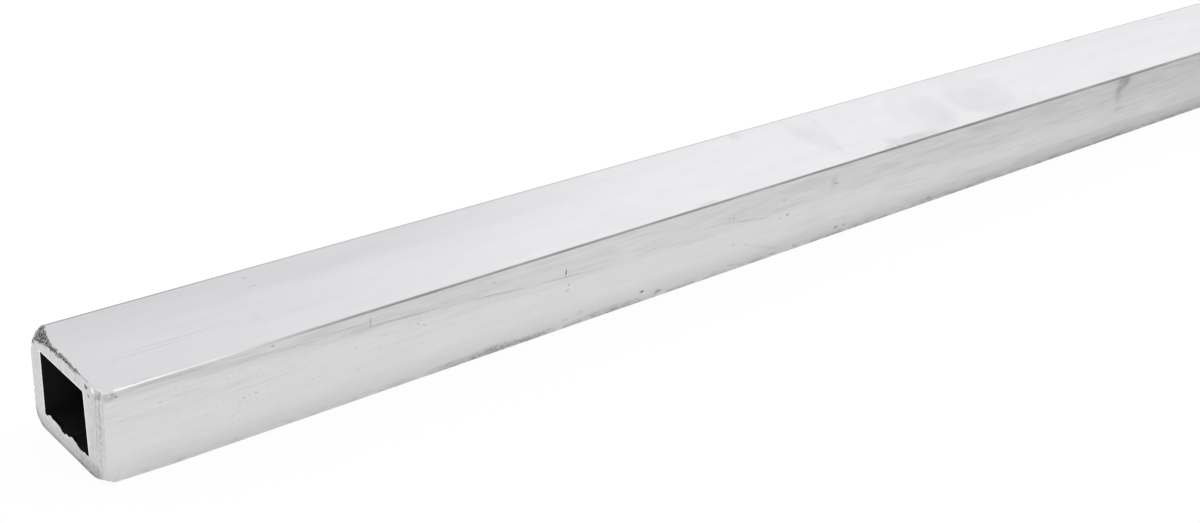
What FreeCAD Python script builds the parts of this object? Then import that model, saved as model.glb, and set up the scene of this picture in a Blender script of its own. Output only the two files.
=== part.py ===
import FreeCAD, Part
import math, os

V = FreeCAD.Vector

# one length of square extruded aluminium tube, in millimetres
# it lies along X with its underside on Z = 0, and the sawn end is at -X
outside = 25.0        # across the flats, both ways
wall = 4.5            # wall thickness if the bore were central
bore_shift = 1.0      # the bore sits this far off centre, towards +Y
length = 1000.0
edge_radius = 0.7     # long outer edges
bore_radius = 0.3     # long inner edges
bore = outside - 2 * wall

# hand-sawn end
saw_yaw = 6.8         # degrees off square, seen from above
saw_lean = 3.9        # degrees off square, seen from the side

# hand dressing of that end
bevel_face = 1.8      # bevel on the -Y edge, measured across the end face
bevel_side = 0.7      # and back along the tube
corner_drop = 2.7     # filed corner at +Y, down the end face
corner_back = 3.1     # and back along the top
corner_width = 8.0    # it fades out over this width of the top edge
brush_drop = 1.2      # light filing of the whole top edge, down the end face
brush_back = 0.7      # and back along the top, both widest at +Y
brush_gap = 2.5       # it fades out this far short of the -Y side
front_nose = 4.6      # rounded bottom corner at -Y, its radius on the end face
front_run = 2.2       # and the length over which it fades into the long edge
back_nose = 3.8       # rounded bottom corner at +Y
back_run = 2.6
crown_nose = 7.0      # rounded top corner at +Y
crown_run = 1.6

# far end, cut square at the mill
mill_chamfer = 0.3

# extra reach of the cutting tools beyond the metal
reach = 2.0 * outside


def end_x(y, z):
    """Distance along X of the sawn face at a given place on the section."""
    yaw = math.tan(math.radians(saw_yaw))
    lean = math.tan(math.radians(saw_lean))
    return -length / 2 - yaw * y - lean * (z - outside / 2)


def end_point(y, z, back=0.0):
    """A point on the sawn face, or set back from it along the tube."""
    return V(end_x(y, z) + back, y, z)


def square_bar(side, radius, start, stop, shift=0.0):
    """Square bar along X with rounded long edges, centred on the tube's height."""
    corner = V(start, shift - side / 2, (outside - side) / 2)
    bar = Part.makeBox(stop - start, side, side, corner)
    along = [e for e in bar.Edges if abs(e.tangentAt(e.FirstParameter).x) > 0.99]
    return bar.makeFillet(radius, along)


def beyond_plane(a, b, c):
    """Block on the far side of the plane through three points.

    The side is the one that the normal (b - a) x (c - a) points to.
    """
    normal = (b - a).cross(c - a)
    size = 3 * reach
    block = Part.makeBox(size, size, size, V(-size / 2, -size / 2, 0))
    turn = FreeCAD.Rotation(V(0, 0, 1), normal)
    block.Placement = FreeCAD.Placement((a + b + c) * (1 / 3), turn)
    return block


def corner_wire(side, level, x, radius):
    """What lies outside a rounded corner of the section, as a wire at one X.

    The side is -1 or 1 for -Y or +Y, and the level -1 or 1 for bottom or top.
    """
    y = side * outside / 2
    z = (1 + level) * outside / 2
    slack = reach * 0.01
    mid = radius * (1 - math.sqrt(0.5))
    upright = V(x, y, z - level * radius)
    flat = V(x, y - side * radius, z)
    middle = V(x, y - side * mid, z - level * mid)
    arc = Part.Arc(upright, middle, flat).toShape()
    below = V(x, y - side * radius, z + level * slack)
    corner = V(x, y + side * slack, z + level * slack)
    beside = V(x, y + side * slack, z - level * radius)
    sides = Part.makePolygon([flat, below, corner, beside, upright])
    return Part.Wire([arc] + sides.Edges)


def nose_cutter(side, level, radius, run):
    """Cutter that rounds one corner of the sawn end and fades out."""
    face = end_x(side * outside / 2, (1 + level) * outside / 2)
    growth = radius - edge_radius
    before = corner_wire(side, level, face - run, radius + growth)
    after = corner_wire(side, level, face + run, edge_radius)
    return Part.makeLoft([before, after], True, True)


def saw_cutter():
    """The skewed saw cut at the -X end."""
    half = outside / 2
    return beyond_plane(end_point(0, 0), end_point(0, half), end_point(half, 0))


def bevel_cutter():
    """Bevel between the sawn face and the -Y side."""
    half = outside / 2
    inner = -half + bevel_face
    low = end_point(inner, 0)
    high = end_point(inner, outside)
    back = end_point(-half, 0, bevel_side)
    return beyond_plane(low, back, high)


def file_cutter(drop, back, width):
    """Filed cut on the top edge of the sawn face, widest at +Y.

    It goes down the face by drop, back along the top by back, and fades
    out at this width from the +Y side.
    """
    half = outside / 2
    down = end_point(half, outside - drop)
    behind = end_point(half, outside, back)
    fade = end_point(half - width, outside)
    return beyond_plane(down, fade, behind)


def far_end_edges(tube):
    """Outer edges of the square-cut end at +X."""
    inside = bore / 2 + abs(bore_shift) + bore_radius
    found = []
    for edge in tube.Edges:
        box = edge.BoundBox
        flat = abs(box.XMin - length / 2) < 0.01 and box.XLength < 0.01
        middle = edge.CenterOfMass
        rise = abs(middle.z - outside / 2)
        if flat and max(abs(middle.y), rise) > inside:
            found.append(edge)
    return found


def build_tube():
    """The whole tube as one solid, centred on X and Y, resting on Z = 0."""
    start = -length / 2 - reach
    stop = length / 2
    tube = square_bar(outside, edge_radius, start, stop)
    tube = tube.cut(square_bar(bore, bore_radius, start - 1, stop + 1, bore_shift))
    tube = tube.makeChamfer(mill_chamfer, far_end_edges(tube))
    cutters = [saw_cutter(), bevel_cutter()]
    cutters.append(file_cutter(corner_drop, corner_back, corner_width))
    cutters.append(file_cutter(brush_drop, brush_back, outside - brush_gap))
    cutters.append(nose_cutter(-1, -1, front_nose, front_run))
    cutters.append(nose_cutter(1, -1, back_nose, back_run))
    cutters.append(nose_cutter(1, 1, crown_nose, crown_run))
    for cutter in cutters:
        tube = tube.cut(cutter)
    tube = tube.removeSplitter()
    box = tube.optimalBoundingBox(False, False)
    tube.translate(V(-(box.XMin + box.XMax) / 2, 0, 0))
    return tube.Solids[0]


os.makedirs("parts", exist_ok=True)
square_tube = build_tube()
square_tube.exportStep("parts/square_tube.step")

box = square_tube.optimalBoundingBox(False, False)
print("valid", square_tube.isValid(), "solids", len(square_tube.Solids))
print("size", round(box.XLength, 3), round(box.YLength, 3), round(box.ZLength, 3))
print("x", round(box.XMin, 3), round(box.XMax, 3))
print("volume cm3", round(square_tube.Volume / 1000, 3))
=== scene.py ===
"""Square aluminium tube, sawn and dressed by hand at one end, on a pale studio floor."""
import logging
import math
import random
from dataclasses import dataclass
from enum import Enum
from typing import Any, Callable, Iterable

import bmesh
import bpy
from mathutils import Matrix, Vector


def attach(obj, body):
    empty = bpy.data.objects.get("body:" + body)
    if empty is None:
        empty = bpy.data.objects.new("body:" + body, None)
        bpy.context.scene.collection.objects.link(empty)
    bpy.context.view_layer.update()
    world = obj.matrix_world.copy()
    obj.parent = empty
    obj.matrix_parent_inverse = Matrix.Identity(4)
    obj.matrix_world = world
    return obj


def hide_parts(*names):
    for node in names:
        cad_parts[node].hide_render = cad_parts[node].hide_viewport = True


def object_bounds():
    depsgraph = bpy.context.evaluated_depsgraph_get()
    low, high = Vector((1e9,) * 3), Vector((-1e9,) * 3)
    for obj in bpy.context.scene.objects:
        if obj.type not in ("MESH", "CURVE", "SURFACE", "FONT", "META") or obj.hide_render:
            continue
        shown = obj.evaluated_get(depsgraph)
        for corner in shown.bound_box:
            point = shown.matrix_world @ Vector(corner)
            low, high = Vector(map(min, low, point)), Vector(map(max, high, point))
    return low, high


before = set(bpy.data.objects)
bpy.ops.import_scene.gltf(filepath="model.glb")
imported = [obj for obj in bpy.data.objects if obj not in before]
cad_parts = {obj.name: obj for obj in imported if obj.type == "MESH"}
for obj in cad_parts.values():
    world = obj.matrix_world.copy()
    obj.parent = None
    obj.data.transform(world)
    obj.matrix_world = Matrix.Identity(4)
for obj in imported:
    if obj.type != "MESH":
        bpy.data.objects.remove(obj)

CAD_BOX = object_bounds()
MM = 0.001
# the tube's length on its axis, and X of its sawn end there, in the CAD frame
LENGTH = 1000.0 * MM
NEAR_X = CAD_BOX[1][0] - LENGTH
# height plus distance from the middle at the borders of a rounded top edge, in millimetres
CHORD = 25.0 + 12.5 - 0.7
# how much longer than its line a mark is, because its ends fade out
FADING = 1.15
log = logging.getLogger("square_tube")
Tree = bpy.types.NodeTree
Socket = bpy.types.NodeSocket


class Finish(Enum):
    """The finishes of the tube, in the order of its material slots."""

    SIDE = 0
    TOP = 1
    SAWN = 2
    TORN = 3
    BORE = 4


class Pick(Enum):
    """What a selection in edit mode is made of."""

    VERT = "VERT"
    EDGE = "EDGE"
    FACE = "FACE"


def linear(code: str) -> tuple[float, float, float, float]:
    """Turn an sRGB hex colour into the linear colour that a socket takes.

    Args:
        code: The colour as "#rrggbb".

    Returns:
        Red, green, blue and an alpha of 1.
    """
    parts = [int(code[i:i + 2], 16) / 255 for i in (1, 3, 5)]
    turned = [c / 12.92 if c <= 0.04045 else ((c + 0.055) / 1.055) ** 2.4 for c in parts]
    return (turned[0], turned[1], turned[2], 1.0)


def add(tree: Tree, kind: str, inputs: dict[Any, Any] | None = None,
        **settings: Any) -> bpy.types.Node:
    """Add a node with its settings, and fill or link its inputs.

    Args:
        tree: The node tree that gets the node.
        kind: Blender's name of the node.
        inputs: Input name or number to a value or to the socket that feeds it.
        **settings: The node's own properties.

    Returns:
        The new node.
    """
    item = tree.nodes.new(kind)
    for name, value in settings.items():
        setattr(item, name, value)
    for name, value in (inputs or {}).items():
        if isinstance(value, Socket):
            tree.links.new(value, item.inputs[name])
        else:
            item.inputs[name].default_value = value
    return item


def start_edit(piece: bpy.types.Object) -> None:
    """Make one object the only selected one and open it in edit mode.

    Args:
        piece: The object.
    """
    if bpy.context.mode != "OBJECT":
        bpy.ops.object.mode_set(mode="OBJECT")
    bpy.ops.object.select_all(action="DESELECT")
    piece.select_set(True)
    bpy.context.view_layer.objects.active = piece
    bpy.ops.object.mode_set(mode="EDIT")


def end_edit() -> None:
    """Go back to object mode."""
    bpy.ops.object.mode_set(mode="OBJECT")


def choose(piece: bpy.types.Object, what: Pick, test: Callable[[Any], bool]) -> None:
    """Select in edit mode the elements that pass a test, and nothing else.

    Args:
        piece: The object in edit mode.
        what: Vertices, edges or faces.
        test: Says of one element whether it is wanted.
    """
    bpy.ops.mesh.select_mode(type=what.value)
    bpy.ops.mesh.select_all(action="DESELECT")
    mesh = bmesh.from_edit_mesh(piece.data)
    pool = {Pick.VERT: mesh.verts, Pick.EDGE: mesh.edges, Pick.FACE: mesh.faces}[what]
    for item in pool:
        if test(item):
            item.select_set(True)
    mesh.select_flush_mode()
    bmesh.update_edit_mesh(piece.data, loop_triangles=False, destructive=False)


def cut(piece: bpy.types.Object, point: Vector, outward: Vector) -> None:
    """Cut away what lies beyond a plane, and close the cut.

    Args:
        piece: The object to cut.
        point: A point on the plane.
        outward: The plane's normal, towards the part that goes.
    """
    start_edit(piece)
    bpy.ops.mesh.select_all(action="SELECT")
    bpy.ops.mesh.bisect(plane_co=point, plane_no=outward.normalized(), use_fill=True,
                        clear_outer=True, threshold=1e-7)
    end_edit()


def score(point: Vector, normal: Vector) -> None:
    """Add a line of edges where a plane crosses the selected faces."""
    bpy.ops.mesh.bisect(plane_co=point, plane_no=normal, threshold=1e-7)


def nudge(piece: bpy.types.Object, place: Vector, move: Vector, reach: float) -> None:
    """Push the surface at one spot, as with proportional editing by hand.

    Args:
        piece: The object, in edit mode.
        place: Where the push is; the nearest vertex takes all of it.
        move: How far and which way.
        reach: How far from the place the surface still follows.
    """
    bpy.ops.mesh.select_mode(type="VERT")
    bpy.ops.mesh.select_all(action="DESELECT")
    mesh = bmesh.from_edit_mesh(piece.data)
    nearest = min(mesh.verts, key=lambda v: (v.co - place).length_squared)
    nearest.select_set(True)
    mesh.select_flush_mode()
    bmesh.update_edit_mesh(piece.data, loop_triangles=False, destructive=False)
    bpy.ops.transform.translate(value=move, use_proportional_edit=True,
                                proportional_edit_falloff="SMOOTH", proportional_size=reach)


def ruffle(piece: bpy.types.Object, group: str, grain: float, depth: float) -> None:
    """Work a cloudy relief into one part of a piece, only ever inwards.

    Args:
        piece: The object, in object mode.
        group: The vertex group that says where and how strongly.
        grain: Size of the relief's features.
        depth: Greatest depth of the relief.
    """
    relief = bpy.data.textures.new(group, "CLOUDS")
    relief.noise_scale = grain
    relief.noise_depth = 3
    made = piece.modifiers.new(group, "DISPLACE")
    made.texture = relief
    made.texture_coords = "LOCAL"
    made.direction = "NORMAL"
    made.mid_level = 1.0
    made.strength = depth
    made.vertex_group = group
    bpy.context.view_layer.objects.active = piece
    bpy.ops.object.modifier_apply(modifier=made.name)


@dataclass(frozen=True)
class Mark:
    """One mark on the metal, as an ellipsoid in millimetres from the near end.

    The centre is X along the tube, Y across and Z up. The radii reach to where the
    mark has faded out, turn is in degrees about Y on a side and about Z on top, and
    hollow is the share of the radius at which a ring is darkest, 0 for a full mark.
    """

    centre: tuple[float, float, float]
    radii: tuple[float, float, float]
    strength: float
    turn: float = 0.0
    hollow: float = 0.0

    @property
    def on_side(self) -> bool:
        """Whether the mark is on the side that the photograph shows."""
        return abs(self.centre[1]) > 12.4

    @property
    def soft(self) -> bool:
        """Whether the mark is a broad film or a long hairline, not speckled dirt."""
        small, middle, large = sorted(self.radii)
        return middle > 2.4 or (large > 5 and small < 0.8)


def spot(x: float, z: float, long: float, high: float, strength: float, turn: float = 0.0) -> Mark:
    """A spot on the side that the photograph shows, by its place, radii and strength."""
    return Mark((x, -12.5, z), (long, 2.0, high), strength, turn)


def smudge(x: float, y: float, long: float, wide: float, strength: float, turn: float = 0.0,
           hollow: float = 0.0) -> Mark:
    """A smudge on the top face, by its place, radii and strength."""
    return Mark((x, y, 25.0), (long, wide, 2.0), strength, turn, hollow)


def stretch(start: tuple[float, float], end: tuple[float, float]) -> tuple[float, float, float, float]:
    """Measure a line between two places on a face.

    Args:
        start: One end of the line.
        end: The other end.

    Returns:
        The two coordinates of its middle, its half length with a little more for the
        fading ends, and its angle in degrees.
    """
    run, rise = end[0] - start[0], end[1] - start[1]
    return ((start[0] + end[0]) / 2, (start[1] + end[1]) / 2, math.hypot(run, rise) / 2 * FADING,
            math.degrees(math.atan2(rise, run)))


def side_line(start: tuple[float, float], end: tuple[float, float], width: float,
              strength: float) -> Mark:
    """A thin straight line on the side, from one place (X, Z) to another."""
    x, z, half, turn = stretch(start, end)
    return spot(x, z, half, width, strength, -turn)


def top_line(start: tuple[float, float], end: tuple[float, float], width: float,
             strength: float) -> Mark:
    """A thin straight line on the top face, from one place (X, Y) to another."""
    x, y, half, turn = stretch(start, end)
    return smudge(x, y, half, width, strength, turn)


# scratches, pits and patches of grime on the side that the photograph shows
SIDE_MARKS = (
    side_line((28.7, 22.9), (55.1, 21.2), 0.40, 0.12),
    side_line((55.1, 21.2), (88.4, 19.2), 0.48, 0.19),
    side_line((88.4, 19.2), (107.5, 17.4), 0.42, 0.20),
    side_line((107.5, 17.4), (128.0, 16.1), 0.42, 0.16),
    side_line((36.8, 23.1), (80.5, 21.0), 0.38, 0.13),
    side_line((3.6, 24.2), (25.0, 23.6), 0.40, 0.12),
    side_line((168.3, 17.8), (191.6, 14.0), 0.7, 0.10),
    side_line((178.4, 8.8), (199.0, 1.2), 0.7, 0.06),
    side_line((118.0, 19.8), (118.4, 16.6), 0.26, 1.4),
    side_line((119.6, 14.8), (120.3, 13.3), 0.24, 0.6),
    spot(119.8, 12.4, 0.9, 0.45, 0.8),
    side_line((62.4, 24.0), (63.0, 19.3), 0.45, 0.28),
    spot(75.9, 17.1, 0.5, 0.4, 0.45), spot(77.7, 16.2, 0.5, 0.4, 0.45),
    spot(66.9, 17.0, 0.5, 0.4, 0.45), spot(38.6, 23.8, 0.7, 0.4, 0.5),
    spot(59.8, 16.0, 0.4, 0.3, 0.3), spot(61.0, 9.3, 0.6, 0.8, 0.12),
    spot(52.6, 13.1, 0.4, 0.3, 0.3), spot(35.6, 12.5, 0.6, 0.3, 0.35),
    spot(34.1, 12.4, 0.5, 0.3, 0.3), spot(32.7, 12.1, 0.6, 0.3, 0.35),
    spot(31.8, 11.4, 0.6, 0.3, 0.25), spot(30.3, 8.1, 0.6, 0.4, 0.3),
    spot(13.4, 18.3, 0.5, 0.4, 0.3), spot(23.8, 11.0, 0.5, 0.4, 0.2),
    spot(16.5, 21.0, 0.6, 0.4, 0.25), spot(96.2, 22.0, 0.7, 0.4, 0.35),
    spot(146.0, 3.7, 1.1, 0.6, 0.9), spot(151.9, 2.0, 1.8, 0.9, 0.5),
    spot(125.8, 3.8, 2.0, 0.9, 0.2), spot(121.2, 3.0, 1.5, 0.7, 0.2),
    spot(172.4, 18.4, 0.7, 0.4, 0.35), spot(173.9, 18.3, 0.7, 0.4, 0.35),
    spot(192.9, 13.1, 0.8, 0.5, 0.5), spot(195.6, 13.4, 1.0, 0.7, 0.6),
    spot(192.5, 18.9, 0.9, 0.5, 0.3), spot(212.7, 19.0, 1.2, 0.6, 0.5),
    spot(211.4, 20.0, 1.6, 3.2, 0.16), spot(176.6, 9.1, 0.8, 0.4, 0.4),
    spot(181.7, 7.9, 0.8, 0.4, 0.3), spot(202.3, 1.6, 1.1, 0.6, 0.4),
    spot(193.3, 1.5, 1.0, 0.5, 0.3), spot(218.6, 3.0, 1.5, 0.8, 0.4),
    spot(222.0, 2.9, 1.4, 0.6, 0.25), spot(259.4, 1.9, 1.6, 0.7, 0.35),
    spot(177.5, 2.2, 2.5, 0.7, 0.2), spot(200.0, 21.8, 15.0, 2.6, 0.07),
    spot(88.0, 1.2, 10.0, 1.6, 0.28), spot(100.0, 1.4, 10.0, 2.0, 0.42),
    spot(112.0, 1.2, 9.0, 1.5, 0.30), spot(135.0, 1.2, 16.0, 2.2, 0.22),
    spot(345.0, 24.0, 3.4, 1.8, 0.18), spot(348.2, 22.8, 2.8, 2.8, 0.18),
    spot(346.4, 22.0, 5.0, 4.0, 0.12), spot(345.4, 19.8, 2.5, 3.2, 0.15),
    spot(347.0, 16.6, 2.5, 3.0, 0.12), spot(349.4, 12.4, 4.6, 1.8, 0.17),
    spot(1.5, 24.1, 0.9, 0.7, 0.45), spot(3.1, 24.2, 1.0, 0.5, 0.4, 20),
    spot(3.9, 23.4, 0.6, 0.45, 0.4), spot(2.8, 23.3, 2.6, 1.0, 0.22),
    spot(1.2, 20.0, 0.5, 2.6, 0.22),
)
# scratches, nicks and finger smudges on the top face
TOP_MARKS = (
    top_line((3.0, -2.75), (41.0, -3.3), 0.36, 0.10),
    top_line((2.6, -4.2), (27.0, -4.0), 0.34, 0.10),
    top_line((9.5, 5.8), (18.4, 6.1), 0.4, 0.04),
    smudge(44.0, 9.1, 1.4, 0.45, 0.25), smudge(44.4, 6.0, 1.6, 0.4, 0.2),
    smudge(39.1, -4.3, 1.5, 0.6, 0.08), smudge(40.3, -6.3, 1.5, 0.6, 0.08),
    smudge(8.1, -12.0, 1.2, 0.3, 0.3), smudge(10.4, -11.7, 1.4, 0.25, 0.25),
    smudge(194.0, 10.2, 3.0, 2.4, 0.11), smudge(164.0, -11.4, 6.0, 0.6, 0.12),
    top_line((222.6, 12.0), (220.9, 1.0), 1.3, 0.07),
    top_line((220.9, 2.0), (217.0, -11.6), 1.3, 0.07),
    smudge(212.8, 5.0, 3.5, 8.0, 0.045), smudge(216.5, 0.0, 4.5, 11.0, 0.035),
    smudge(258.0, -0.8, 12.0, 12.0, 0.02, 0, 0.7), smudge(261.0, -2.5, 12.0, 11.0, 0.055),
    smudge(284.0, -3.0, 16.0, 12.0, 0.065), smudge(285.0, -1.0, 14.5, 11.5, 0.025, 0, 0.75),
    smudge(236.5, -9.6, 4.0, 2.5, 0.10), smudge(235.5, -11.6, 6.0, 1.2, 0.18),
    smudge(243.5, -10.6, 8.0, 2.6, 0.15), smudge(217.0, 0.5, 7.0, 12.0, 0.02),
    smudge(251.0, -11.2, 8.0, 2.5, 0.10),
    smudge(304.0, -7.5, 1.6, 0.6, 0.15), smudge(398.0, 9.4, 5.0, 0.7, 0.12),
    smudge(343.0, -9.8, 4.0, 2.0, 0.06), smudge(347.7, 11.6, 4.0, 0.6, 0.2),
    smudge(315.0, 11.7, 3.0, 0.5, 0.15),
)


@dataclass(frozen=True)
class Plane:
    """A plane in the CAD frame, by a point on it and its outward normal."""

    point: Vector
    outward: Vector


@dataclass(frozen=True)
class Ramp:
    """A step of a value from one outcome to another; start may be above stop.

    The value is a socket, such as a place in millimetres. A smooth step is rounded off.
    """

    value: Socket
    start: float
    stop: float
    low: float = 0.0
    high: float = 1.0
    smooth: bool = True

    def build(self, ground: "Ground") -> Socket:
        """Add the step to a ground.

        Args:
            ground: The ground that is painted.

        Returns:
            A factor from low to high.
        """
        return add(ground.tree, "ShaderNodeMapRange",
                   {"Value": self.value, "From Min": self.start, "From Max": self.stop,
                    "To Min": self.low, "To Max": self.high},
                   interpolation_type="SMOOTHSTEP" if self.smooth else "LINEAR").outputs[0]


@dataclass(frozen=True)
class Grain:
    """Noise with its own size of feature in millimetres along X, Y and Z.

    The span of noise values becomes a factor from low to high. The seed sets one grain
    apart from another, and detail counts the octaves of finer noise.
    """

    size: tuple[float, float, float]
    span: tuple[float, float]
    seed: float = 0.0
    detail: float = 3.0
    low: float = 0.0
    high: float = 1.0

    def build(self, ground: "Ground") -> Socket:
        """Add the noise to a ground.

        Args:
            ground: The ground that is painted.

        Returns:
            A factor from low to high.
        """
        put = add(ground.tree, "ShaderNodeMapping",
                  {"Vector": ground.place, "Location": (self.seed, self.seed * 1.7, self.seed * 0.6),
                   "Scale": tuple(1 / side for side in self.size)})
        made = add(ground.tree, "ShaderNodeTexNoise",
                   {"Vector": put.outputs[0], "Scale": 1.0, "Detail": self.detail, "Roughness": 0.55})
        return Ramp(made.outputs[0], *self.span, self.low, self.high, smooth=False).build(ground)


@dataclass(frozen=True)
class Layer:
    """One layer of a mask: its strength, times every part.

    A part is a ramp, a grain or a socket that holds a factor.
    """

    strength: float
    parts: tuple[Any, ...]


class Ground:
    """What a material is painted on: its node tree, and the place on the tube.

    Places are in millimetres, with X counted from the near end, where near_end is 1. A
    ramp or a grain that several layers share is built once.
    """

    def __init__(self, tree: Tree) -> None:
        """Find the place on the tube in a material's node tree.

        Args:
            tree: The material's node tree.
        """
        self.tree = tree
        here = add(tree, "ShaderNodeTexCoord").outputs["Object"]
        self.place = add(tree, "ShaderNodeMapping",
                         {"Vector": here, "Location": (-NEAR_X / MM, 0, 0),
                          "Scale": (1 / MM, 1 / MM, 1 / MM)}).outputs[0]
        self.x, self.y, self.z = add(tree, "ShaderNodeSeparateXYZ", {0: self.place}).outputs
        self.near_end = Ramp(self.x, 30.0, 15.0)
        self.built: dict[Any, Socket] = {}

    def factor(self, part: Any) -> Any:
        """Find the factor of one part of a layer.

        Args:
            part: A ramp or a grain, built at its first use, or a socket.

        Returns:
            The socket that holds the factor.
        """
        if not isinstance(part, (Ramp, Grain)):
            return part
        if part not in self.built:
            self.built[part] = part.build(self)
        return self.built[part]

    def mask(self, layers: Iterable[Layer], base: float = 0.0) -> Any:
        """Add layers up.

        Args:
            layers: The layers, each a product.
            base: What they are added to.

        Returns:
            The socket that holds the sum.
        """
        summed: Any = base
        for layer in layers:
            value: Any = layer.strength
            for part in layer.parts[:-1]:
                value = add(self.tree, "ShaderNodeMath", {0: value, 1: self.factor(part)},
                            operation="MULTIPLY").outputs[0]
            summed = add(self.tree, "ShaderNodeMath",
                         {0: value, 1: self.factor(layer.parts[-1]), 2: summed},
                         operation="MULTIPLY_ADD").outputs[0]
        return summed

    def clamped(self, layers: Iterable[Layer]) -> Socket:
        """Add layers up and keep the sum from 0 to 1."""
        return add(self.tree, "ShaderNodeMath", {0: self.mask(layers), 1: 0.0}, operation="MAXIMUM",
                   use_clamp=True).outputs[0]

    def marks(self, marks: Iterable[Mark]) -> Any:
        """Lay down soft ellipsoids, one for each mark.

        Args:
            marks: The marks.

        Returns:
            The socket that holds how strongly they lie over a place.
        """
        summed: Any = 0.0
        for mark in marks:
            angle = math.radians(mark.turn)
            turned = (0, angle, 0) if mark.on_side else (0, 0, angle)
            put = add(self.tree, "ShaderNodeMapping",
                      {"Vector": self.place, "Location": mark.centre, "Rotation": turned,
                       "Scale": mark.radii}, vector_type="TEXTURE")
            away = add(self.tree, "ShaderNodeVectorMath", {0: put.outputs[0]},
                       operation="LENGTH").outputs["Value"]
            if mark.hollow > 0:
                past = add(self.tree, "ShaderNodeMath", {0: away, 1: mark.hollow}, operation="SUBTRACT")
                away = add(self.tree, "ShaderNodeMath", {0: past.outputs[0]},
                           operation="ABSOLUTE").outputs[0]
            outer = 1.0 - mark.hollow
            soft = Ramp(away, outer, 0.2 * outer, 0.0, mark.strength).build(self)
            summed = add(self.tree, "ShaderNodeMath", {0: summed, 1: soft}, operation="ADD").outputs[0]
        return summed

    def beyond(self, planes: Iterable[Plane]) -> Any:
        """Measure the distance past the outermost of some planes, in millimetres.

        Args:
            planes: The planes in the CAD frame.

        Returns:
            A socket that is 0 on the planes and below 0 inside all of them.
        """
        furthest: Any = -1000.0
        near = Vector((NEAR_X, 0, 0))
        for plane in planes:
            along = add(self.tree, "ShaderNodeVectorMath", {0: self.place, 1: tuple(plane.outward)},
                        operation="DOT_PRODUCT").outputs["Value"]
            start = (plane.point - near).dot(plane.outward) / MM
            level = add(self.tree, "ShaderNodeMath", {0: along, 1: start}, operation="SUBTRACT").outputs[0]
            furthest = add(self.tree, "ShaderNodeMath", {0: furthest, 1: level},
                           operation="MAXIMUM").outputs[0]
        return furthest

    def torn_rim(self, filed: Iterable[Plane], reach: float) -> Layer:
        """Draw a ragged dark border beside the filed cuts.

        Args:
            filed: The planes of the cuts.
            reach: How far the border reaches, in millimetres.

        Returns:
            The border, which fades out towards both sides of the tube.
        """
        ragged = Grain((0.7, 1.6, 0.7), (0.3, 0.7), 61.0, 4.0)
        level = self.mask((Layer(1.0, (self.beyond(filed),)),
                           Layer(reach, (ragged, Ramp(self.y, -7.0, -1.0, 0.35, 1.0)))))
        return Layer(0.57, (Ramp(level, -0.05, 0.10), Ramp(self.y, -11.0, -7.0), Ramp(self.y, 12.3, 11.3)))

    def coats(self, base: str, *coats: tuple[Any, str]) -> Any:
        """Lay coats of colour over a base colour.

        Args:
            base: The base colour as "#rrggbb".
            *coats: Each coat's factor and its colour.

        Returns:
            The socket that holds the finished colour.
        """
        colour: Any = linear(base)
        for factor, code in coats:
            colour = add(self.tree, "ShaderNodeMix", {"Factor": factor, "A": colour, "B": linear(code)},
                         data_type="RGBA").outputs["Result"]
        return colour


def metal(name: str, roughness: float) -> tuple[bpy.types.Material, bpy.types.Node]:
    """Start the material of bare metal.

    Args:
        name: The material's name.
        roughness: How much it spreads reflections.

    Returns:
        The material and its shader.
    """
    made = bpy.data.materials.new(name)
    made.use_nodes = True
    shader = made.node_tree.nodes["Principled BSDF"]
    shader.inputs["Metallic"].default_value = 1.0
    shader.inputs["Roughness"].default_value = roughness
    return made, shader


def finish_metal(ground: Ground, shader: bpy.types.Node, colour: Socket, height: Socket,
                 strength: float, depth: float) -> None:
    """Join a metal's colour and its fine relief to its shader.

    Args:
        ground: The ground that is painted.
        shader: The shader that metal() gave.
        colour: The metal's colour.
        height: The relief, from 0 to 1.
        strength: How strongly the relief shows.
        depth: The relief's real depth in millimetres.
    """
    ground.tree.links.new(colour, shader.inputs["Base Color"])
    bump = add(ground.tree, "ShaderNodeBump", {"Height": height, "Strength": strength,
                                               "Distance": depth * MM})
    ground.tree.links.new(bump.outputs[0], shader.inputs["Normal"])


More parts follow.
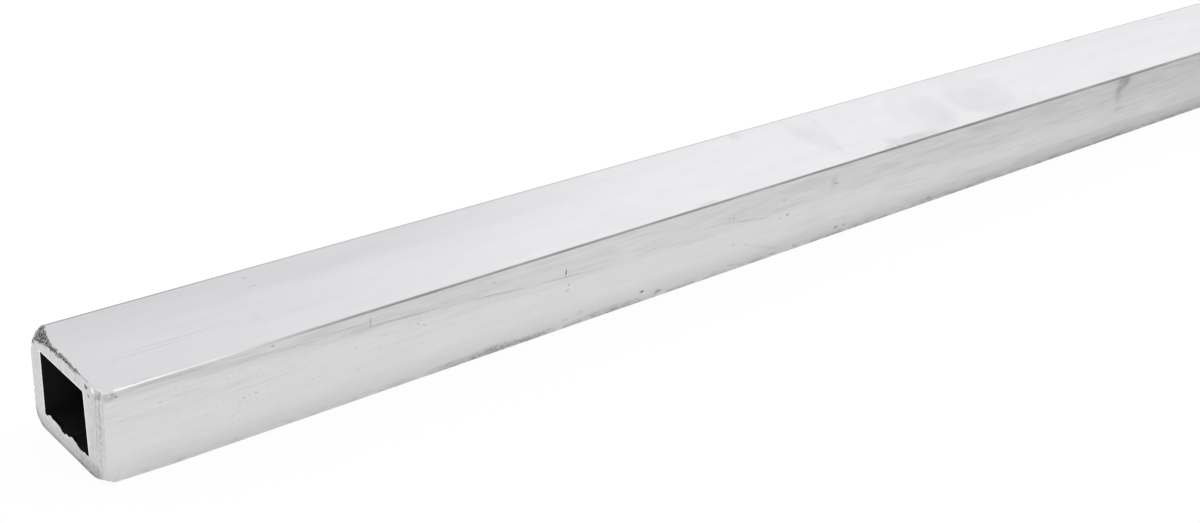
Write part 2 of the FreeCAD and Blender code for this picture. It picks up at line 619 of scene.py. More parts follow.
@dataclass(frozen=True)
class MillAluminium:
    """Mill-finish 6000-series aluminium, as extruded.

    The die leaves fine lines along the tube, and handling adds grey grime and small pits.
    Shade is painted on the side and the top, and a highlight along the front edge.
    """

    # extruded and left bare, it looks pale, satin and nearly neutral, darker where grimy and where shade
    # is painted
    name: str = "mill_aluminium"
    filed: tuple[Plane, ...] = ()
    colour: str = "#e0e0e0"
    grime_and_shade: str = "#5d5d5d"
    # white for the painted highlight
    highlight_colour: str = "#ffffff"
    roughness: float = 0.42
    darkened_roughness: float = 0.67
    marks: tuple[Mark, ...] = ()

    def build(self) -> bpy.types.Material:
        """Make the material.

        Returns:
            The mill-finish material.
        """
        made, shader = metal(self.name, self.roughness)
        ground = Ground(made.node_tree)
        speckle = Grain((0.9, 0.9, 0.6), (0.38, 0.62), 91.0, 4.0, 0.2, 1.0)
        darkening = ground.clamped((
            *self.die_lines(ground), *self.side_grime_and_shade(ground), *self.edge_lines(ground),
            *self.top_shade_and_tone(ground), ground.torn_rim(self.filed, 0.55),
            Layer(1.0, (ground.marks([mark for mark in self.marks if not mark.soft]), speckle)),
            Layer(1.0, (ground.marks([mark for mark in self.marks if mark.soft]),))))
        # the darkening holds grime, pits and painted shade; the white coat is a painted highlight
        colour = ground.coats(self.colour, (darkening, self.grime_and_shade),
                              (ground.mask((self.edge_highlight(ground),)), self.highlight_colour))
        rough = Ramp(darkening, 0.0, 1.0, self.roughness, self.darkened_roughness, smooth=False).build(ground)
        ground.tree.links.new(rough, shader.inputs["Roughness"])
        # the relief of the die lines, again drawn coarser than it is so that it shows
        lines = Grain((60.0, 0.35, 0.35), (0.3, 0.7), 3.0).build(ground)
        finish_metal(ground, shader, colour, lines, 0.12, 0.02)
        return made

    def die_lines(self, ground: Ground) -> tuple[Layer, ...]:
        """Draw fine lines from the die, plainest on top near the sawn end, and a soft mottle.

        Args:
            ground: The ground that is painted.

        Returns:
            The lines and the mottle.
        """
        # real die lines are about 0.05 mm apart, too fine to show, so these are 0.45 mm
        fine = Grain((45.0, 0.45, 0.45), (0.35, 0.75), 1.0)
        broad = Grain((160.0, 2.2, 2.2), (0.35, 0.7), 7.0)
        mottle = Grain((9.0, 3.0, 2.5), (0.3, 0.7), 4.0, 4.0)
        return (Layer(0.012, (fine,)), Layer(0.02, (broad,)), Layer(0.025, (mottle,)),
                Layer(0.022, (fine, Ramp(ground.z, 24.7, 24.95), Ramp(ground.x, 130.0, 10.0))))

    def side_grime_and_shade(self, ground: Ground) -> tuple[Layer, ...]:
        """Streak and pit the side with grime, darken its lower edge with grime and painted shade, and its
        far part with painted shade.

        The streaked film begins at the long edge at the sawn end, and its lower border
        drops to two thirds of the height 130 mm along.

        Args:
            ground: The ground that is painted.

        Returns:
            The grime and the painted shade, all of it on the side at -Y.
        """
        x, z = ground.x, ground.z
        side = Ramp(ground.y, -12.2, -12.45)
        slope = ground.mask((Layer(-0.066, (x,)),), 24.0)
        border = add(ground.tree, "ShaderNodeMath", {0: slope, 1: 15.6}, operation="MAXIMUM").outputs[0]
        above = ground.mask((Layer(1.0, (z,)), Layer(-1.0, (border,))))
        film = (side, Ramp(above, -2.2, 0.8), Ramp(x, 62.0, 105.0, 1.1, 0.55))
        # streaks are smears of a few millimetres, and dots are pits of half a millimetre
        streaks = Grain((9.0, 1.5, 0.8), (0.40, 0.66), 12.0, 5.0, 0.035, 0.135)
        broad = Grain((26.0, 3.0, 2.8), (0.40, 0.64), 16.0)
        faint = Grain((14.0, 1.5, 0.9), (0.48, 0.7), 21.0, 4.0)
        dots = Grain((0.7, 0.6, 0.5), (0.58, 0.72), 33.0, 2.0)
        patches = Grain((9.0, 3.0, 2.2), (0.48, 0.62), 36.0)
        ragged = Grain((3.0, 1.0, 1.2), (0.40, 0.62), 31.0, 5.0)
        far = Ramp(x, 150.0, 400.0, smooth=False)
        return (
            # painted shade: the first layer darkens the whole side a little; the film streaks are grime
            Layer(0.015, (side,)), Layer(1.0, (*film, streaks)), Layer(0.05, (*film, broad)),
            Layer(0.03, (side, faint)), Layer(0.06, (side, faint, Ramp(x, 140.0, 260.0))),
            Layer(0.05, (side, faint, Ramp(z, 12.0, 17.0), Ramp(x, 260.0, 140.0))),
            Layer(0.16, (side, dots, patches, Ramp(z, 6.0, 12.0), Ramp(x, 240.0, 100.0))),
            # painted shade, darker towards the lower edge and more so further along
            Layer(1.0, (side, Ramp(z, 9.0, 0.3), Ramp(x, 150.0, 400.0, 0.14, 0.31, smooth=False))),
            Layer(1.0, (side, Ramp(z, 2.8, 0.3), ragged, Ramp(x, 50.0, 110.0, 0.15, 0.27))),
            # painted shade over the far part, where the light falls off
            Layer(0.085, (side, far)), Layer(0.05, (side, far, broad)))

    def edge_lines(self, ground: Ground) -> tuple[Layer, ...]:
        """Draw a dark line along the far part of the front edge, a grey one along the back edge.

        Args:
            ground: The ground that is painted.

        Returns:
            Both lines.
        """
        x = ground.x
        front = Ramp(self.edge_height(ground, -1, Layer(0.10, (Ramp(x, 190.0, 330.0),))), 0.16, 0.27)
        back = Ramp(self.edge_height(ground, 1), -0.3, 0.05)
        begun = Ramp(x, 26.0, 62.0)
        uneven = Grain((14.0, 4.0, 4.0), (0.35, 0.65), 41.0)
        return (
            Layer(0.30, (front, begun)), Layer(0.16, (front, begun, Ramp(x, 300.0, 140.0))),
            Layer(0.15, (front, begun, uneven)),
            Layer(0.16, (front, begun, Ramp(x, 180.0, 240.0), Ramp(x, 400.0, 250.0))),
            Layer(1.0, (back, Ramp(x, 70.0, 5.0, 0.22, 0.38))))

    def edge_height(self, ground: Ground, side: int, *more: Layer) -> Any:
        """Measure how far out a place on a rounded top edge is, along Y and Z together.

        Args:
            ground: The ground that is painted.
            side: -1 for the edge at -Y, 1 for the one at +Y.
            *more: Layers that raise it.

        Returns:
            A socket that is 0 at the rounding's borders and 0.29 in its middle.
        """
        return ground.mask((Layer(1.0, (ground.z,)), Layer(side, (ground.y,)), *more), -CHORD)

    def edge_highlight(self, ground: Ground) -> Layer:
        """Paint a highlight along the front edge near the sawn end.

        Args:
            ground: The ground that is painted.

        Returns:
            The painted highlight, a little broken.
        """
        x = ground.x
        edge = Ramp(self.edge_height(ground, -1, Layer(0.05, (Ramp(x, 7.0, 4.0),))), 0.24, 0.28)
        broken = Grain((5.0, 3.0, 3.0), (0.35, 0.6), 44.0, low=0.6)
        return Layer(1.0, (edge, Ramp(x, 1.2, 2.2), Ramp(x, 42.0, 14.0), broken))

    def top_shade_and_tone(self, ground: Ground) -> tuple[Layer, ...]:
        """Paint shade on the top near the sawn end, and darken it along the back there and from 110 to 300
        mm along.

        Args:
            ground: The ground that is painted.

        Returns:
            The painted shade and darkening, all of it on the top face.
        """
        x = ground.x
        top = Ramp(ground.z, 24.8, 24.95)
        # painted shade: the top darker near the sawn end
        return (Layer(0.035, (top, Ramp(x, 300.0, 60.0))),
                Layer(0.045, (top, Ramp(ground.y, 2.5, 5.5), Ramp(x, 150.0, 90.0))),
                Layer(0.062, (top, Ramp(x, 110.0, 300.0))),
                Layer(0.03, (top, Grain((30.0, 6.0, 6.0), (0.3, 0.7), 55.0))))


@dataclass(frozen=True)
class SawnAluminium:
    """A sawn and filed end face: mottled, a little paler than the mill finish.

    Rough dark lines run along both borders of the bevel, the mouth's edge has a painted
    highlight, and the lowest part of the face is speckled.
    """

    # a saw and a file leave it matt, with a mottle and scratches of about a millimetre
    filed: tuple[Plane, ...] = ()
    mouth: tuple[Plane, ...] = ()
    colour: str = "#e3e3e3"
    shade: str = "#5c5a5a"
    # white for the painted highlights
    highlight_colour: str = "#ffffff"
    roughness: float = 0.5
    spots: tuple[Mark, ...] = (
        Mark((0.2, -7.2, 23.3), (4, 0.6, 1.0), 0.8), Mark((0.3, -8.0, 21.6), (4, 0.5, 0.6), 0.65),
        Mark((0.6, -11.2, 23.4), (4, 0.9, 1.3), 0.35), Mark((0.6, -10.4, 22.5), (4, 0.5, 0.8), 0.25),
        Mark((-1.2, 5.1, 21.4), (4, 0.45, 0.35), 0.8), Mark((-0.8, 1.4, 21.5), (4, 0.55, 0.4), 0.8),
        Mark((-0.3, -3.6, 22.8), (4, 0.3, 1.0), 0.3), Mark((-0.3, -4.6, 22.3), (4, 0.25, 0.8), 0.25),
        Mark((-1.3, 12.3, 9.4), (4, 0.45, 1.1), 0.6), Mark((-1.2, 12.3, 7.0), (4, 0.4, 0.9), 0.5),
        Mark((-2.0, 11.6, 22.2), (4, 1.1, 0.8), 0.75))
    # painted highlights on the end face
    glints: tuple[Mark, ...] = (
        Mark((0.5, -9.6, 24.1), (4, 0.6, 1.4), 1.1), Mark((0.7, -11.0, 21.9), (4, 0.3, 1.4), 0.3),
        Mark((0.4, 1.0, 3.9), (4, 0.5, 0.35), 1.0))
    bevel_lines: tuple[tuple[float, float, float, float], ...] = (
        (-9.94, -0.019, 0.35, 0.25), (-11.0, -0.018, 0.5, 0.36))
    back_nose: tuple[float, float] = (8.7, 3.8)

    def build(self) -> bpy.types.Material:
        """Make the material.

        Returns:
            The sawn material.
        """
        made, shader = metal("sawn_aluminium", self.roughness)
        ground = Ground(made.node_tree)
        mottle = Grain((0.9, 0.9, 0.9), (0.35, 0.7), 2.0, 4.0)
        scratch = Grain((1.0, 0.35, 4.0), (0.5, 0.72), 9.0)
        darkening = ground.clamped((
            Layer(0.14, (mottle,)), Layer(0.12, (scratch,)), *self.rough_lines(ground),
            *self.borders(ground), Layer(1.0, (ground.marks(self.spots),)),
            ground.torn_rim(self.filed, 0.30)))
        # painted highlights: a line round the mouth, and the glints
        highlight_mask = ground.clamped((self.mouth_highlight(ground), Layer(1.0, (ground.marks(self.glints),))))
        colour = ground.coats(self.colour, (darkening, self.shade), (highlight_mask, self.highlight_colour))
        finish_metal(ground, shader, colour, ground.factor(mottle), 0.5, 0.1)
        return made

    def rough_lines(self, ground: Ground) -> list[Layer]:
        """Draw rough dark lines where the bevel meets the end face and the side.

        Args:
            ground: The ground that is painted.

        Returns:
            The lines, fainter towards the floor.
        """
        rough = Grain((0.8, 0.5, 1.4), (0.38, 0.62), 71.0, 4.0)
        fading = Ramp(ground.z, 6.0, 18.0, 0.5, 1.0)
        lines = []
        for foot, lean, width, depth in self.bevel_lines:
            away = ground.mask((Layer(1.0, (ground.y,)), Layer(-lean, (ground.z,))), -foot)
            size = add(ground.tree, "ShaderNodeMath", {0: away}, operation="ABSOLUTE").outputs[0]
            lines.append(Layer(depth, (Ramp(size, width, width * 0.2), rough, fading, ground.near_end)))
        return lines

    def borders(self, ground: Ground) -> tuple[Layer, ...]:
        """Darken the outer edges at the bottom and back, the lowest part of the face and its part towards
        -Y, and speckle the lower corner.

        Args:
            ground: The ground that is painted.

        Returns:
            The darkening.
        """
        y, z, near = ground.y, ground.z, ground.near_end
        broken = Grain((0.7, 0.7, 0.7), (0.35, 0.6), 81.0, 4.0, 0.3, 1.0)
        inside = Ramp(y, -11.4, -10.2)
        return (Layer(0.45, (*self.rounded_rim(ground), broken, near)),
                Layer(0.22, (Ramp(z, 6.0, 2.0), Ramp(y, 2.0, -6.0), inside, broken, near)),
                Layer(0.06, (Ramp(y, -7.0, -9.0), near)),
                Layer(0.16, (Ramp(z, 5.0, 2.0), inside, near)))

    def rounded_rim(self, ground: Ground) -> tuple[Ramp, Ramp]:
        """Find the rim along the bottom and round the lower back corner.

        Args:
            ground: The ground that is painted.

        Returns:
            Factors that are 1 at the very rim, and 0 from 1.7 mm inside it and well above it.
        """
        start, radius = self.back_nose
        across = ground.mask((Layer(1.0, (ground.y,)),), -start)
        down = ground.mask((Layer(-1.0, (ground.z,)),), radius)
        corner = add(ground.tree, "ShaderNodeCombineXYZ", {0: across, 1: down}).outputs[0]
        held = add(ground.tree, "ShaderNodeVectorMath", {0: corner, 1: (0, 0, 0)},
                   operation="MAXIMUM").outputs[0]
        reach = add(ground.tree, "ShaderNodeVectorMath", {0: held}, operation="LENGTH").outputs["Value"]
        return Ramp(reach, radius - 1.7, radius - 0.1), Ramp(ground.z, radius + 2, radius - 2)

    def mouth_highlight(self, ground: Ground) -> Layer:
        """Paint a thin highlight round the mouth, apart from its ragged lower lip.

        Args:
            ground: The ground that is painted.

        Returns:
            The painted highlight.
        """
        line = Ramp(ground.beyond(self.mouth), 0.4, 0.2)
        return Layer(0.85, (line, Ramp(ground.z, 4.5, 6.5), ground.near_end))


@dataclass(frozen=True)
class TornAluminium:
    """Metal torn and smeared by a coarse file: dark, granular, in curved streaks."""

    # torn in grains of about half a millimetre, it looks dark grey: grime, with painted shade in its
    # hollows and painted glints on its grains
    pale: str = "#c2c0c0"
    dark: str = "#1c1b1c"
    roughness: float = 0.55
    eye: tuple[float, float, float] = (-0.6, 10.2, 24.0)
    burr: tuple[Mark, ...] = (Mark((-0.8, 12.2, 23.2), (4, 0.9, 1.0), 0.6),)

    def build(self) -> bpy.types.Material:
        """Make the material.

        Returns:
            The torn material.
        """
        made, shader = metal("torn_aluminium", self.roughness)
        ground = Ground(made.node_tree)
        grain = Grain((0.6, 0.6, 0.5), (0.40, 0.66), 5.0, 5.0)
        centred = add(ground.tree, "ShaderNodeMapping",
                      {"Vector": ground.place, "Location": tuple(-c for c in self.eye)})
        arcs = add(ground.tree, "ShaderNodeTexWave",
                   {"Vector": centred.outputs[0], "Scale": 0.45, "Distortion": 9.0, "Detail": 2.0,
                    "Detail Scale": 0.8}, wave_type="RINGS", rings_direction="SPHERICAL")
        both = ground.mask((Layer(0.55, (grain,)), Layer(0.45, (arcs.outputs["Fac"],))))
        tone = ground.mask((Layer(1.0, (Ramp(both, -0.1, 1.1),)), Layer(1.0, (ground.marks(self.burr),))))
        # painted shade and painted glints of the torn relief, with grime
        colour = ground.coats(self.dark, (tone, self.pale))
        finish_metal(ground, shader, colour, tone, 0.8, 0.3)
        return made


@dataclass(frozen=True)
class PaintedShadeBore:
    """The bore's wall: extruded aluminium deep inside, where hardly any light comes."""

    # plain black with no shine, as painted shade for the unlit bore, so the opening is a dark hole
    colour: str = "#202022"

    def build(self) -> bpy.types.Material:
        """Make the material.

        Returns:
            The black material.
        """
        made = bpy.data.materials.new("bore_painted_shade")
        made.use_nodes = True
        shader = made.node_tree.nodes["Principled BSDF"]
        shader.inputs["Base Color"].default_value = linear(self.colour)
        shader.inputs["Roughness"].default_value = 1.0
        shader.inputs["Specular IOR Level"].default_value = 0.0
        return made


@dataclass
class SquareTube:
    """The tube, with its dressed end in full detail.

    Sizes are in metres, in the CAD frame: X along the tube, the sawn end at -X. The
    filed cuts are (down the face, back along the top, width of the top edge), a nose is
    (radius on the face, length over which it fades out), and a dent is (place counted
    from the sawn face on the axis, push, reach). The mouth is four corners (across,
    height), and the lip is places along its lower edge (across, rise).
    """

    outside: float = 25.0 * MM
    wall: float = 4.5 * MM
    bore_shift: float = 1.0 * MM
    length: float = LENGTH
    edge_radius: float = 0.7 * MM
    bore_radius: float = 0.3 * MM
    saw_yaw: float = 6.8
    saw_lean: float = 3.9
    bevel_face: float = 1.8 * MM
    bevel_side: float = 0.4 * MM
    corner_cut: tuple[float, float, float] = (2.7 * MM, 2.6 * MM, 8.0 * MM)
    brush_cut: tuple[float, float, float] = (1.2 * MM, 0.7 * MM, 22.5 * MM)
    front_nose: tuple[float, float] = (4.6 * MM, 2.2 * MM)
    back_nose: tuple[float, float] = (3.8 * MM, 2.6 * MM)
    crown_nose: tuple[float, float] = (7.0 * MM, 1.6 * MM)
    nose_facets: int = 9
    mill_chamfer: float = 0.3 * MM
    saw_allowance: float = 0.01 * MM
    spare: float = 20.0 * MM
    mouth: tuple[tuple[float, float], ...] = (
        (9.0 * MM, 21.2 * MM), (-6.0 * MM, 21.3 * MM),
        (-6.85 * MM, 4.4 * MM), (8.85 * MM, 4.65 * MM))
    mouth_depth: float = 1.6 * MM
    lip: tuple[tuple[float, float], ...] = (
        (7.0 * MM, 0.75 * MM), (5.6 * MM, 0.45 * MM), (4.4 * MM, 0.35 * MM), (2.3 * MM, -0.45 * MM),
        (-0.8 * MM, 0.7 * MM), (-2.1 * MM, 0.35 * MM), (-3.9 * MM, -0.35 * MM))
    lip_reach: float = 1.3 * MM
    dents: tuple[tuple[tuple[float, float, float], tuple[float, float, float], float], ...] = (
        ((0.3 * MM, -11.4 * MM, 24.8 * MM), (0.35 * MM, 0.25 * MM, -0.45 * MM), 1.6 * MM),
        ((1.6 * MM, -12.3 * MM, 24.8 * MM), (0.0, 0.15 * MM, -0.25 * MM), 1.0 * MM),
        ((2.9 * MM, -12.4 * MM, 24.7 * MM), (0.0, 0.15 * MM, -0.20 * MM), 0.6 * MM),
        ((0.1 * MM, -7.7 * MM, 23.3 * MM), (0.30 * MM, 0.0, 0.0), 0.7 * MM),
        ((-1.9 * MM, 12.4 * MM, 9.2 * MM), (0.15 * MM, -0.30 * MM, 0.0), 0.9 * MM),
        ((-1.7 * MM, 12.4 * MM, 7.0 * MM), (0.10 * MM, -0.20 * MM, 0.0), 0.7 * MM),
        ((-2.0 * MM, 12.3 * MM, 20.6 * MM), (0.10 * MM, -0.20 * MM, 0.0), 1.2 * MM),
        ((4.3 * MM, -12.4 * MM, 0.1 * MM), (0.0, 0.20 * MM, 0.24 * MM), 3.0 * MM))
    teeth: int = 26
    tooth: float = 0.16 * MM
    tooth_reach: float = 0.5 * MM
    end_zone: float = 8.0 * MM
    fine_zone: float = 7.0 * MM
    fine_step: float = 0.25 * MM
    coarse_step: float = 12.0 * MM
    coarse_growth: float = 0.12
    torn_relief: tuple[float, float] = (0.9 * MM, 0.4 * MM)
    bevel_relief: tuple[float, float] = (0.7 * MM, 0.12 * MM)
    crease: float = 28.0

    def end_point(self, y: float, z: float, back: float = 0.0) -> Vector:
        """Find a point on the sawn face, or set back from it along the tube.

        Args:
            y: Place across the tube.
            z: Height above the floor.
            back: Distance from the face, towards the far end.

        Returns:
            The point in the CAD frame.
        """
        yaw = math.tan(math.radians(self.saw_yaw))
        lean = math.tan(math.radians(self.saw_lean))
        near = CAD_BOX[1][0] - self.length + self.saw_allowance
        return Vector((near - yaw * y - lean * (z - self.outside / 2) + back, y, z))

    def saw_plane(self) -> Plane:
        """Find the plane of the sawn face.

        Returns:
            The plane, with its normal away from the tube.
        """
        face = self.end_point(0, 0)
        outward = (self.end_point(0, self.outside) - face).cross(
            self.end_point(self.outside, 0) - face).normalized()
        return Plane(face, outward)

    def filed_planes(self) -> tuple[Plane, ...]:
        """Find the two filed cuts on the top edge of the sawn face, widest at +Y.

        Returns:
            Their planes.
        """
        half, top = self.outside / 2, self.outside
        found = []
        for drop, behind, width in (self.corner_cut, self.brush_cut):
            down = self.end_point(half, top - drop)
            fade = self.end_point(half - width, top)
            rear = self.end_point(half, top, behind)
            found.append(Plane(down, (fade - down).cross(rear - down).normalized()))
        return tuple(found)

    def mouth_planes(self) -> tuple[Plane, ...]:
        """Find the planes along X through the edges of the bore's mouth.

        Returns:
            The planes, with their normals away from the mouth's middle.
        """
        found = []
        for k, (y, z) in enumerate(self.mouth):
            y2, z2 = self.mouth[(k + 1) % len(self.mouth)]
            found.append(Plane(Vector((0, y, z)), Vector((0, z2 - z, y - y2)).normalized()))
        centre = Vector((0, self.bore_shift, self.outside / 2))
        return tuple(Plane(p.point, p.outward if p.outward.dot(p.point - centre) > 0 else -p.outward)
                     for p in found)

    def build(self) -> bpy.types.Object:
        """Model the tube and give it its finishes.

        Returns:
            The finished piece.
        """
        piece = self.make_prism()
        self.saw_ends(piece)
        self.dress_end(piece)
        self.shape_mouth(piece)
        self.set_finishes(piece)
        self.score_end(piece)
        self.wear_end(piece)
        bpy.ops.object.shade_smooth_by_angle(angle=math.radians(self.crease))
        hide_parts("square_tube")
        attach(piece, "root")
        return piece

    def make_prism(self) -> bpy.types.Object:
        """Model the plain section, open at both ends and a little too long.

        Returns:
            The outer and the inner walls as one object.
        """
        middle = Vector(((CAD_BOX[0][0] + CAD_BOX[1][0]) / 2, 0, self.outside / 2))
        long = self.length + 2 * self.spare
        shells = []
        for side, radius, segments, shift, inside in (
                (self.outside, self.edge_radius, 5, 0.0, False),
                (self.outside - 2 * self.wall, self.bore_radius, 2, self.bore_shift, True)):
            bpy.ops.object.select_all(action="DESELECT")
            bpy.ops.mesh.primitive_cube_add(size=1.0, location=middle + Vector((0, shift, 0)),
                                            scale=(long, side, side))
            shell = bpy.context.active_object
            bpy.ops.object.transform_apply(location=True, rotation=True, scale=True)
            start_edit(shell)
            choose(shell, Pick.EDGE, lambda e: abs(e.verts[0].co.x - e.verts[1].co.x) > long / 2)
            bpy.ops.mesh.bevel(offset_type="OFFSET", offset=radius, segments=segments, profile=0.5,
                               affect="EDGES")
            choose(shell, Pick.FACE, lambda f: abs(f.normal.x) > 0.9)
            bpy.ops.mesh.delete(type="ONLY_FACE")
            if inside:
                bpy.ops.mesh.select_all(action="SELECT")
                bpy.ops.mesh.flip_normals()
            end_edit()
            shells.append(shell)
        bpy.ops.object.select_all(action="DESELECT")
        for shell in shells:
            shell.select_set(True)
        bpy.context.view_layer.objects.active = shells[0]
        bpy.ops.object.join()
        piece = bpy.context.active_object
        piece.name = "tube"
        return piece

    def saw_ends(self, piece: bpy.types.Object) -> None:
        """Cut the skewed near end and the square far end, and break the far end's edge.

        Args:
            piece: The tube.
        """
        face = self.saw_plane()
        cut(piece, face.point, face.outward)
        cut(piece, Vector((CAD_BOX[1][0] - self.saw_allowance, 0, 0)), Vector((1, 0, 0)))
        start_edit(piece)
        far = CAD_BOX[1][0] - 2 * self.saw_allowance
        inner = self.outside / 2 - self.wall + self.bore_shift + 0.5 * MM
        choose(piece, Pick.EDGE, lambda e: all(v.co.x > far for v in e.verts) and all(
            max(abs(v.co.y), abs(v.co.z - self.outside / 2)) > inner for v in e.verts))
        bpy.ops.mesh.bevel(offset_type="OFFSET", offset=self.mill_chamfer, segments=1,
                           affect="EDGES")
        end_edit()

    def dress_end(self, piece: bpy.types.Object) -> None:
        """File the bevel, the top edge and three rounded corners of the near end.

        Args:
            piece: The tube.
        """
        half, top = self.outside / 2, self.outside
        low = self.end_point(self.bevel_face - half, 0)
        high = self.end_point(self.bevel_face - half, top)
        back = self.end_point(-half, 0, self.bevel_side)
        cut(piece, low, (back - low).cross(high - low))
        for filed in self.filed_planes():
            cut(piece, filed.point, filed.outward)
        self.round_corner(piece, -1, -1, *self.front_nose)
        self.round_corner(piece, 1, -1, *self.back_nose)
        self.round_corner(piece, 1, 1, *self.crown_nose)

    def round_corner(self, piece: bpy.types.Object, side: int, level: int,
                     radius: float, run: float) -> None:
        """Round one corner of the near end by tapering file strokes.

        Args:
            piece: The tube.
            side: -1 for a corner at -Y, 1 for one at +Y.
            level: -1 for a bottom corner, 1 for a top one.
            radius: The corner's radius on the sawn face.
            run: How far along the tube the rounding fades out.
        """
        y = side * self.outside / 2
        z = (1 + level) * self.outside / 2
        for k in range(self.nose_facets):
            turn = (k + 0.5) * math.pi / 2 / self.nose_facets
            aim = Vector((0, side * math.cos(turn), level * math.sin(turn)))
            along = Vector((0, side * math.sin(turn), -level * math.cos(turn)))
            ends = []
            for size, back in ((radius, 0.0), (self.edge_radius, run)):
                corner = self.end_point(y, z, back)
                ends.append(corner - Vector((0, side * size, level * size)) + size * aim)
            outward = (ends[1] - ends[0]).cross(along)
            cut(piece, ends[0], outward if outward.dot(aim) > 0 else -outward)

    def shape_mouth(self, piece: bpy.types.Object) -> None:
        """Pull the bore's mouth to the shape that sawing and filing left it in.

        Args:
            piece: The tube.
        """
        inside = self.outside / 2 - self.wall
        middle = Vector((0, self.bore_shift, self.outside / 2))
        face = self.saw_plane()
        start_edit(piece)
        choose(piece, Pick.FACE, lambda f: abs(f.normal.dot(face.outward)) < 0.2 and max(
            abs(f.calc_center_median().y - middle.y),
            abs(f.calc_center_median().z - middle.z)) < inside + 0.01 * MM)
        score(face.point - self.mouth_depth * face.outward, face.outward)
        for y, z in self.mouth:
            side = 1 if y > middle.y else -1
            level = 1 if z > middle.z else -1
            corner = self.end_point(middle.y + side * inside, middle.z + level * inside)
            moved = self.end_point(y, z) - corner
            choose(piece, Pick.VERT, lambda v: (v.co - corner).length < 2 * self.bore_radius
                   and abs((v.co - face.point).dot(face.outward)) < 0.01 * MM)
            bpy.ops.transform.translate(value=moved)
        end_edit()

    def set_finishes(self, piece: bpy.types.Object) -> None:
        """Give each face its material slot, going by where it is and how it faces.

        Args:
            piece: The tube.
        """
        filed, mouth = self.filed_planes(), self.mouth_planes()
        for finish in (MillAluminium("mill_aluminium_side", filed, marks=SIDE_MARKS),
                       # the top's copy is a little bluer: a painted tint of the light on the top face
                       MillAluminium("mill_aluminium_top", filed, "#dfdfe1", marks=TOP_MARKS),
                       SawnAluminium(filed=filed, mouth=mouth), TornAluminium(), PaintedShadeBore()):
            piece.data.materials.append(finish.build())
        near = CAD_BOX[0][0] + self.end_zone
        inner = self.outside / 2 - self.wall + 0.35 * MM
        for face in piece.data.polygons:
            centre = face.center
            across = max(abs(centre.y - self.bore_shift), abs(centre.z - self.outside / 2))
            face.material_index = Finish.TOP.value if face.normal.z > 0.75 else Finish.SIDE.value
            if abs(face.normal.x) < 0.5 and across < inner:
                face.material_index = Finish.BORE.value
            elif centre.x < near and any(face.normal.dot(f.outward) > 0.995 for f in filed):
                face.material_index = Finish.TORN.value
            elif (centre.x < near and face.normal.x < -0.2) or face.normal.x > 0.9:
                face.material_index = Finish.SAWN.value

    def score_end(self, piece: bpy.types.Object) -> None:
        """Lay a fine grid of edges over the near end, and rings ever further apart beyond it.

        Args:
            piece: The tube.
        """
        near = CAD_BOX[0][0]
        limit = near + self.fine_zone
        start_edit(piece)
        x = limit
        while x < CAD_BOX[1][0] - self.spare / 2:
            bpy.ops.mesh.select_all(action="SELECT")
            score(Vector((x, 0, 0)), Vector((1, 0, 0)))
            x += self.coarse_step + self.coarse_growth * (x - limit)
        steps = round(self.fine_zone / self.fine_step)
        for k in range(1, steps):
            choose(piece, Pick.FACE, lambda f: f.calc_center_median().x < limit)
            score(Vector((near + k * self.fine_step, 0, 0)), Vector((1, 0, 0)))
        count = round(self.outside / self.fine_step)
        for k in range(1, count):
            along = k * self.fine_step
            choose(piece, Pick.FACE, lambda f: f.calc_center_median().x < limit)
            score(Vector((0, along - self.outside / 2, 0)), Vector((0, 1, 0)))
            choose(piece, Pick.FACE, lambda f: f.calc_center_median().x < limit)
            score(Vector((0, 0, along)), Vector((0, 0, 1)))
        end_edit()

    def wear_end(self, piece: bpy.types.Object) -> None:
        """Add the ragged lip of the mouth, the dents, and the torn and rough relief.

        Args:
            piece: The tube.
        """
        start_edit(piece)
        (left, floor), (right, _) = self.mouth[2:]
        for y, rise in self.lip:
            nudge(piece, self.end_point(y, floor), Vector((0, 0, rise)), self.lip_reach)
        chance = random.Random(7)
        for k in range(self.teeth):
            y = left + (k + 0.5) * (right - left) / self.teeth
            rise = chance.uniform(-1.0, 1.2) * self.tooth
            nudge(piece, self.end_point(y, floor + 0.3 * MM), Vector((0, 0, rise)), self.tooth_reach)
        near = self.end_point(0, self.outside / 2)
        for place, move, reach in self.dents:
            nudge(piece, Vector((near.x + place[0], place[1], place[2])), Vector(move), reach)
        end_edit()
        filed = self.filed_planes()
        limit = CAD_BOX[0][0] + self.fine_zone - MM
        for name, weigh in (("torn", lambda place: self.torn_weight(place, filed)),
                            ("bevel", self.bevel_weight)):
            group = piece.vertex_groups.new(name=name)
            for vertex in piece.data.vertices:
                weight = weigh(vertex.co) if vertex.co.x < limit else 0.0
                if weight > 0:
                    group.add([vertex.index], weight, "REPLACE")
        ruffle(piece, "torn", *self.torn_relief)
        ruffle(piece, "bevel", *self.bevel_relief)

    def torn_weight(self, place: Vector, filed: Iterable[Plane]) -> float:
        """Tell how much of the torn relief a place takes: all on a filed cut, else none."""
        away = max((place - cut_plane.point).dot(cut_plane.outward) for cut_plane in filed)
        return 1.0 if away > -0.02 * MM else 0.0

    def bevel_weight(self, place: Vector) -> float:
        """Tell how much of the rough relief a place takes, most of it on the bevel.

        Args:
            place: A place on the tube.

        Returns:
            A weight from 0 to 1.
        """
        behind = place.x - self.end_point(place.y, place.z).x
        away = abs(place.y - self.bevel_face + self.outside / 2 + 0.4 * MM)
        return 1 - min(1.0, away / (1.2 * MM)) if behind < 1.2 * MM else 0.0


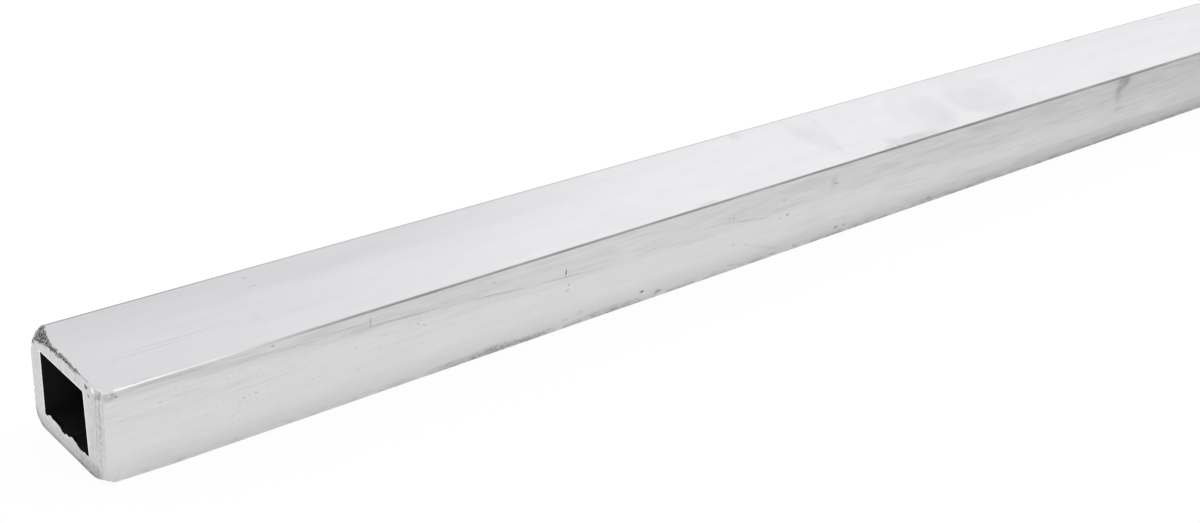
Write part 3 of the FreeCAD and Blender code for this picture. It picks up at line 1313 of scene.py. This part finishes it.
@dataclass
class Studio:
    """The pale floor, the soft light and the camera at the photograph's angle.

    The floor glows by itself for the camera and for reflections, so it shows white and
    the tube mirrors white, and the rest of it takes the tube's soft shadow.
    """

    lens: float = 51.0
    spot: tuple[float, float, float] = (-0.61755, -0.24476, 0.24337)
    forward: tuple[float, float, float] = (0.60738, 0.57034, -0.55300)
    up: tuple[float, float, float] = (0.24319, 0.52920, 0.81290)
    floor_size: float = 12.0
    floor_gap: float = 0.2 * MM
    floor_colour: str = "#f4f4f4"
    glow: float = 1.02
    glow_share: float = 0.9
    lamp_size: tuple[float, float] = (2.0, 1.4)
    lamp_power: float = 3.5
    lamp_spot: tuple[float, float, float] = (1.5, 0.75, 1.2)
    lamp_aim: tuple[float, float, float] = (0.1, 0.0, 0.0)

    def build(self) -> None:
        """Set up the camera, the floor, the world and the lamps."""
        self.make_camera()
        self.make_floor()
        self.make_world()
        self.make_lamps()
        bpy.context.scene.view_settings.view_transform = "Standard"

    def make_camera(self) -> None:
        """Place the camera where the photograph was taken from."""
        lens = bpy.data.cameras.new("camera")
        lens.lens = self.lens
        lens.sensor_width = 36.0
        lens.clip_start = 0.01
        camera = bpy.data.objects.new("camera", lens)
        bpy.context.scene.collection.objects.link(camera)
        back = -Vector(self.forward).normalized()
        right = Vector(self.up).cross(back).normalized()
        turn = Matrix((right, back.cross(right), back)).transposed()
        camera.matrix_world = Matrix.Translation(Vector(self.spot)) @ turn.to_4x4()
        bpy.context.scene.camera = camera

    def make_floor(self) -> None:
        """Lay a white floor that shows white to the camera and keeps a soft shadow."""
        bpy.ops.object.select_all(action="DESELECT")
        bpy.ops.mesh.primitive_plane_add(size=self.floor_size, location=(0, 0, -self.floor_gap))
        floor = bpy.context.active_object
        floor.name = "floor"
        bpy.ops.object.transform_apply(location=True, rotation=True, scale=True)
        made = bpy.data.materials.new("white_paper")
        made.use_nodes = True
        tree = made.node_tree
        shader = tree.nodes["Principled BSDF"]
        shader.inputs["Base Color"].default_value = linear(self.floor_colour)
        shader.inputs["Roughness"].default_value = 0.9
        shader.inputs["Specular IOR Level"].default_value = 0.1
        path = add(tree, "ShaderNodeLightPath")
        seen = add(tree, "ShaderNodeMath", {0: path.outputs["Is Camera Ray"],
                                            1: path.outputs["Is Glossy Ray"]}, operation="MAXIMUM")
        glow = add(tree, "ShaderNodeEmission", {"Strength": self.glow})
        share = add(tree, "ShaderNodeMath", {0: seen.outputs[0], 1: self.glow_share}, operation="MULTIPLY")
        both = add(tree, "ShaderNodeMixShader", {0: share.outputs[0], 1: shader.outputs[0],
                                                 2: glow.outputs[0]})
        tree.links.new(both.outputs[0], tree.nodes["Material Output"].inputs["Surface"])
        floor.data.materials.append(made)

    def make_world(self) -> None:
        """Light the scene evenly from a white sky."""
        world = bpy.data.worlds.new("studio")
        bpy.context.scene.world = world
        world.use_nodes = True
        tree = world.node_tree
        tree.nodes["Background"].inputs["Strength"].default_value = 1.0
        tree.nodes["Background"].inputs["Color"].default_value = (1, 1, 1, 1)

    def make_lamps(self) -> None:
        """Hang one large soft lamp high over the far end."""
        lamp = bpy.data.lights.new("far_softbox", "AREA")
        lamp.shape = "RECTANGLE"
        lamp.size, lamp.size_y = self.lamp_size
        lamp.energy = self.lamp_power
        hung = bpy.data.objects.new("far_softbox", lamp)
        bpy.context.scene.collection.objects.link(hung)
        hung.location = self.lamp_spot
        aim = Vector(self.lamp_aim) - hung.location
        hung.rotation_euler = aim.to_track_quat("-Z", "Y").to_euler()


def main() -> None:
    """Build the tube and the studio."""
    logging.basicConfig(level=logging.INFO, format="%(name)s: %(message)s")
    tube = SquareTube().build()
    log.info("tube: %d faces", len(tube.data.polygons))
    Studio().build()


if __name__ == "__main__":
    main()
